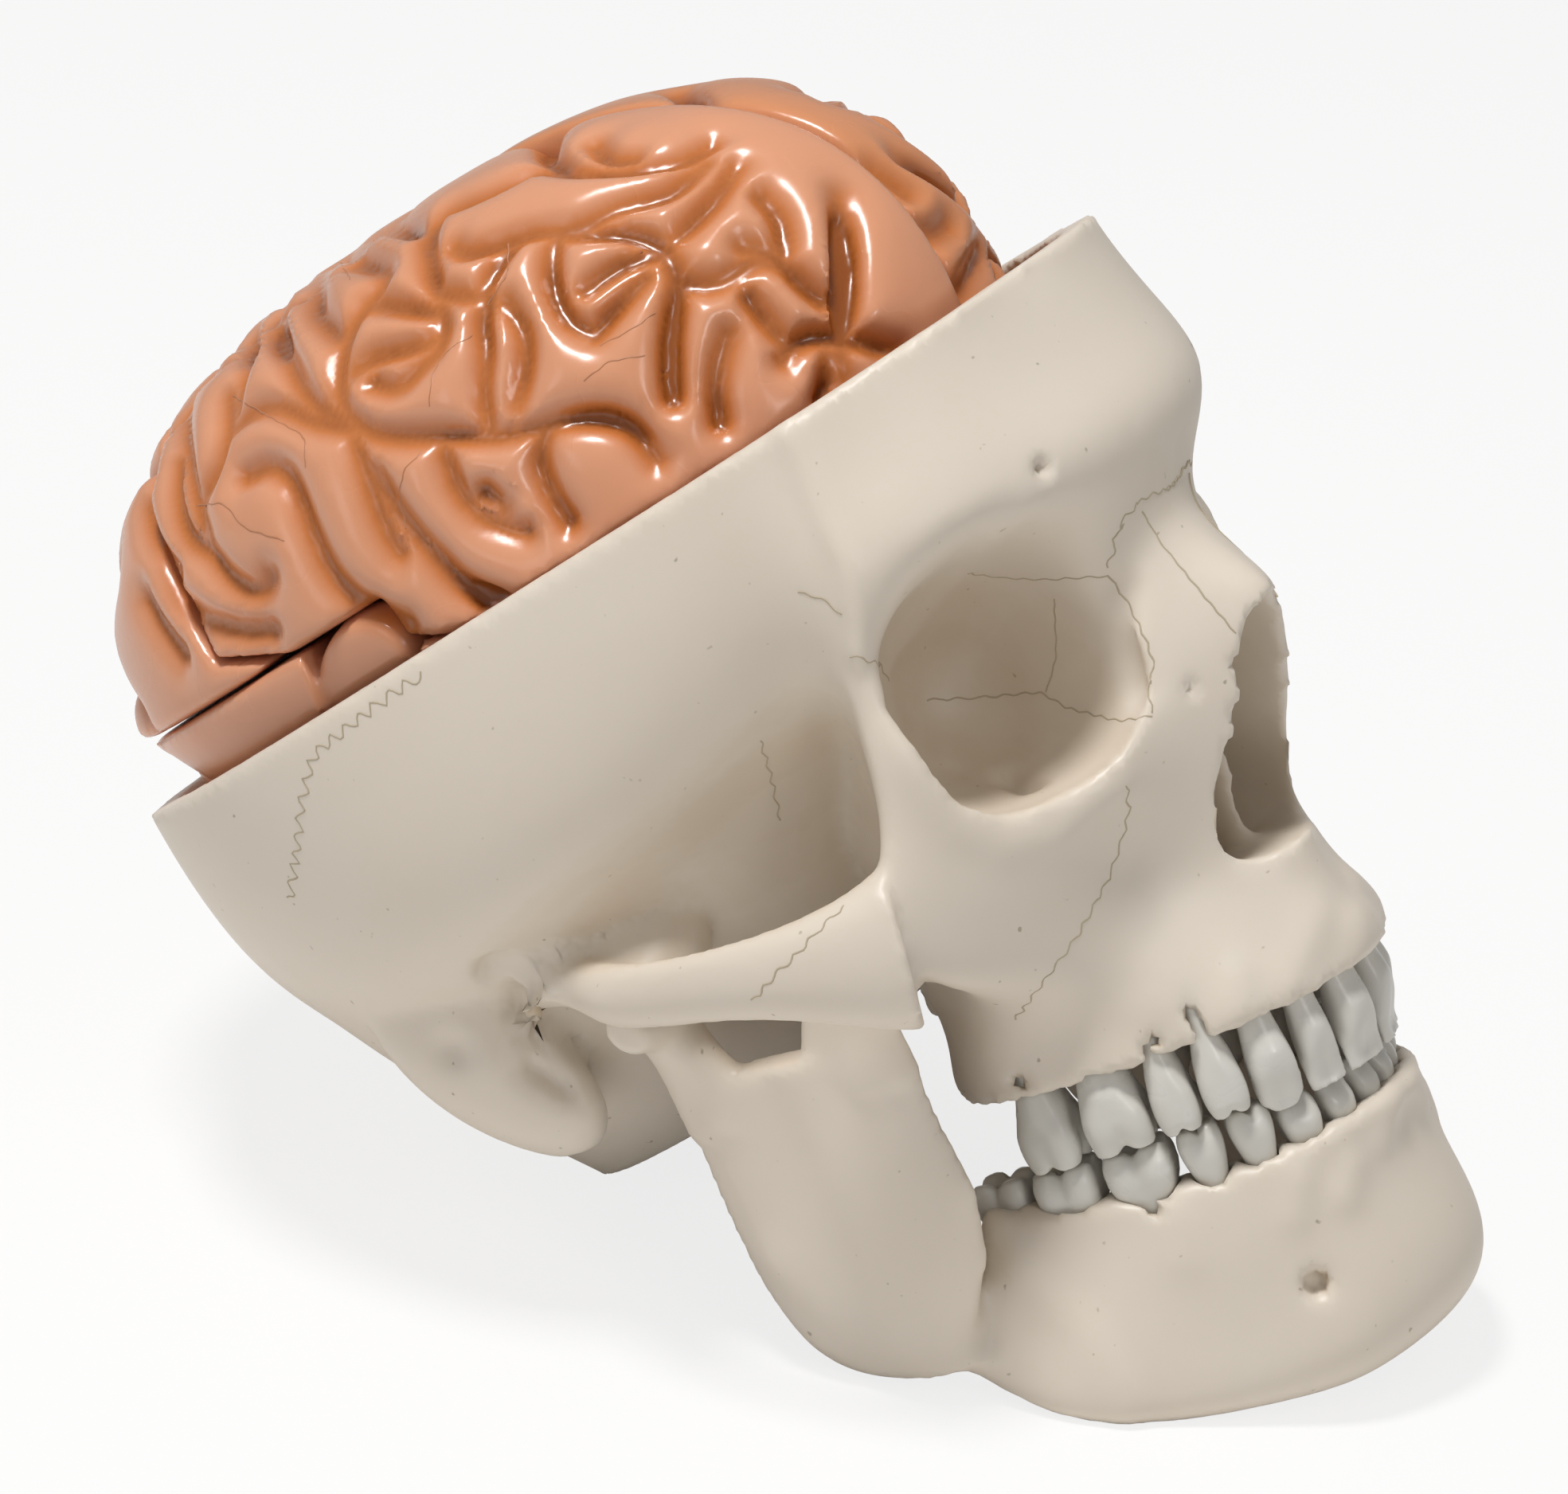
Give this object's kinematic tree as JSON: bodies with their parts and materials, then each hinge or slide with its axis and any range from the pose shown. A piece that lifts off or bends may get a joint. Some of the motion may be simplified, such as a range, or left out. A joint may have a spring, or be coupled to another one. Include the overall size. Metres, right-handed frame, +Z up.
{
  "type": "skull and brain anatomy model",
  "caption": "Life-size teaching skull with the cap lifted off, a hinged lower jaw, set teeth and a folded brain in separable lobes sitting in the open braincase.",
  "frame": {"origin": "on the table, under the middle of the bounding box, with the skull resting on its jaw and the back of its head", "axes": "+Z up from the table, -Y the way the face looks, +X to the skull's left"},
  "size_m": [0.138, 0.214, 0.1675],
  "materials": {
    "bone": "satin cream vinyl, moulded",
    "tooth": "glossy grey-white, set in open sockets",
    "brain": "glossy salmon vinyl with darker painted furrows"
  },
  "bodies": {
    "skull": {"cranium": "bone", "upper_left_canine": "tooth", "upper_left_incisor_1": "tooth", "upper_left_incisor_2": "tooth", "upper_left_molar_1": "tooth", "upper_left_molar_2": "tooth", "upper_left_premolar_1": "tooth", "upper_left_premolar_2": "tooth", "upper_right_canine": "tooth", "upper_right_incisor_1": "tooth", "upper_right_incisor_2": "tooth", "upper_right_molar_1": "tooth", "upper_right_molar_2": "tooth", "upper_right_premolar_1": "tooth", "upper_right_premolar_2": "tooth", "brain_left_cerebellum": "brain", "brain_left_frontoparietal": "brain", "brain_left_temporo_occipital": "brain", "brain_right_cerebellum": "brain", "brain_right_frontoparietal": "brain", "brain_right_temporo_occipital": "brain", "brain_stem": "brain"},
    "jaw": {"mandible": "bone", "lower_left_canine": "tooth", "lower_left_incisor_1": "tooth", "lower_left_incisor_2": "tooth", "lower_left_molar_1": "tooth", "lower_left_molar_2": "tooth", "lower_left_molar_3": "tooth", "lower_left_premolar_1": "tooth", "lower_left_premolar_2": "tooth", "lower_right_canine": "tooth", "lower_right_incisor_1": "tooth", "lower_right_incisor_2": "tooth", "lower_right_molar_1": "tooth", "lower_right_molar_2": "tooth", "lower_right_molar_3": "tooth", "lower_right_premolar_1": "tooth", "lower_right_premolar_2": "tooth"}
  },
  "joints": [
    {"name": "jaw_hinge", "type": "hinge", "parent": "skull", "child": "jaw", "pos_m": [0, -0.00163, 0.05227], "axis": [1, 0, 0], "range_deg": [0, 22]}
  ]
}
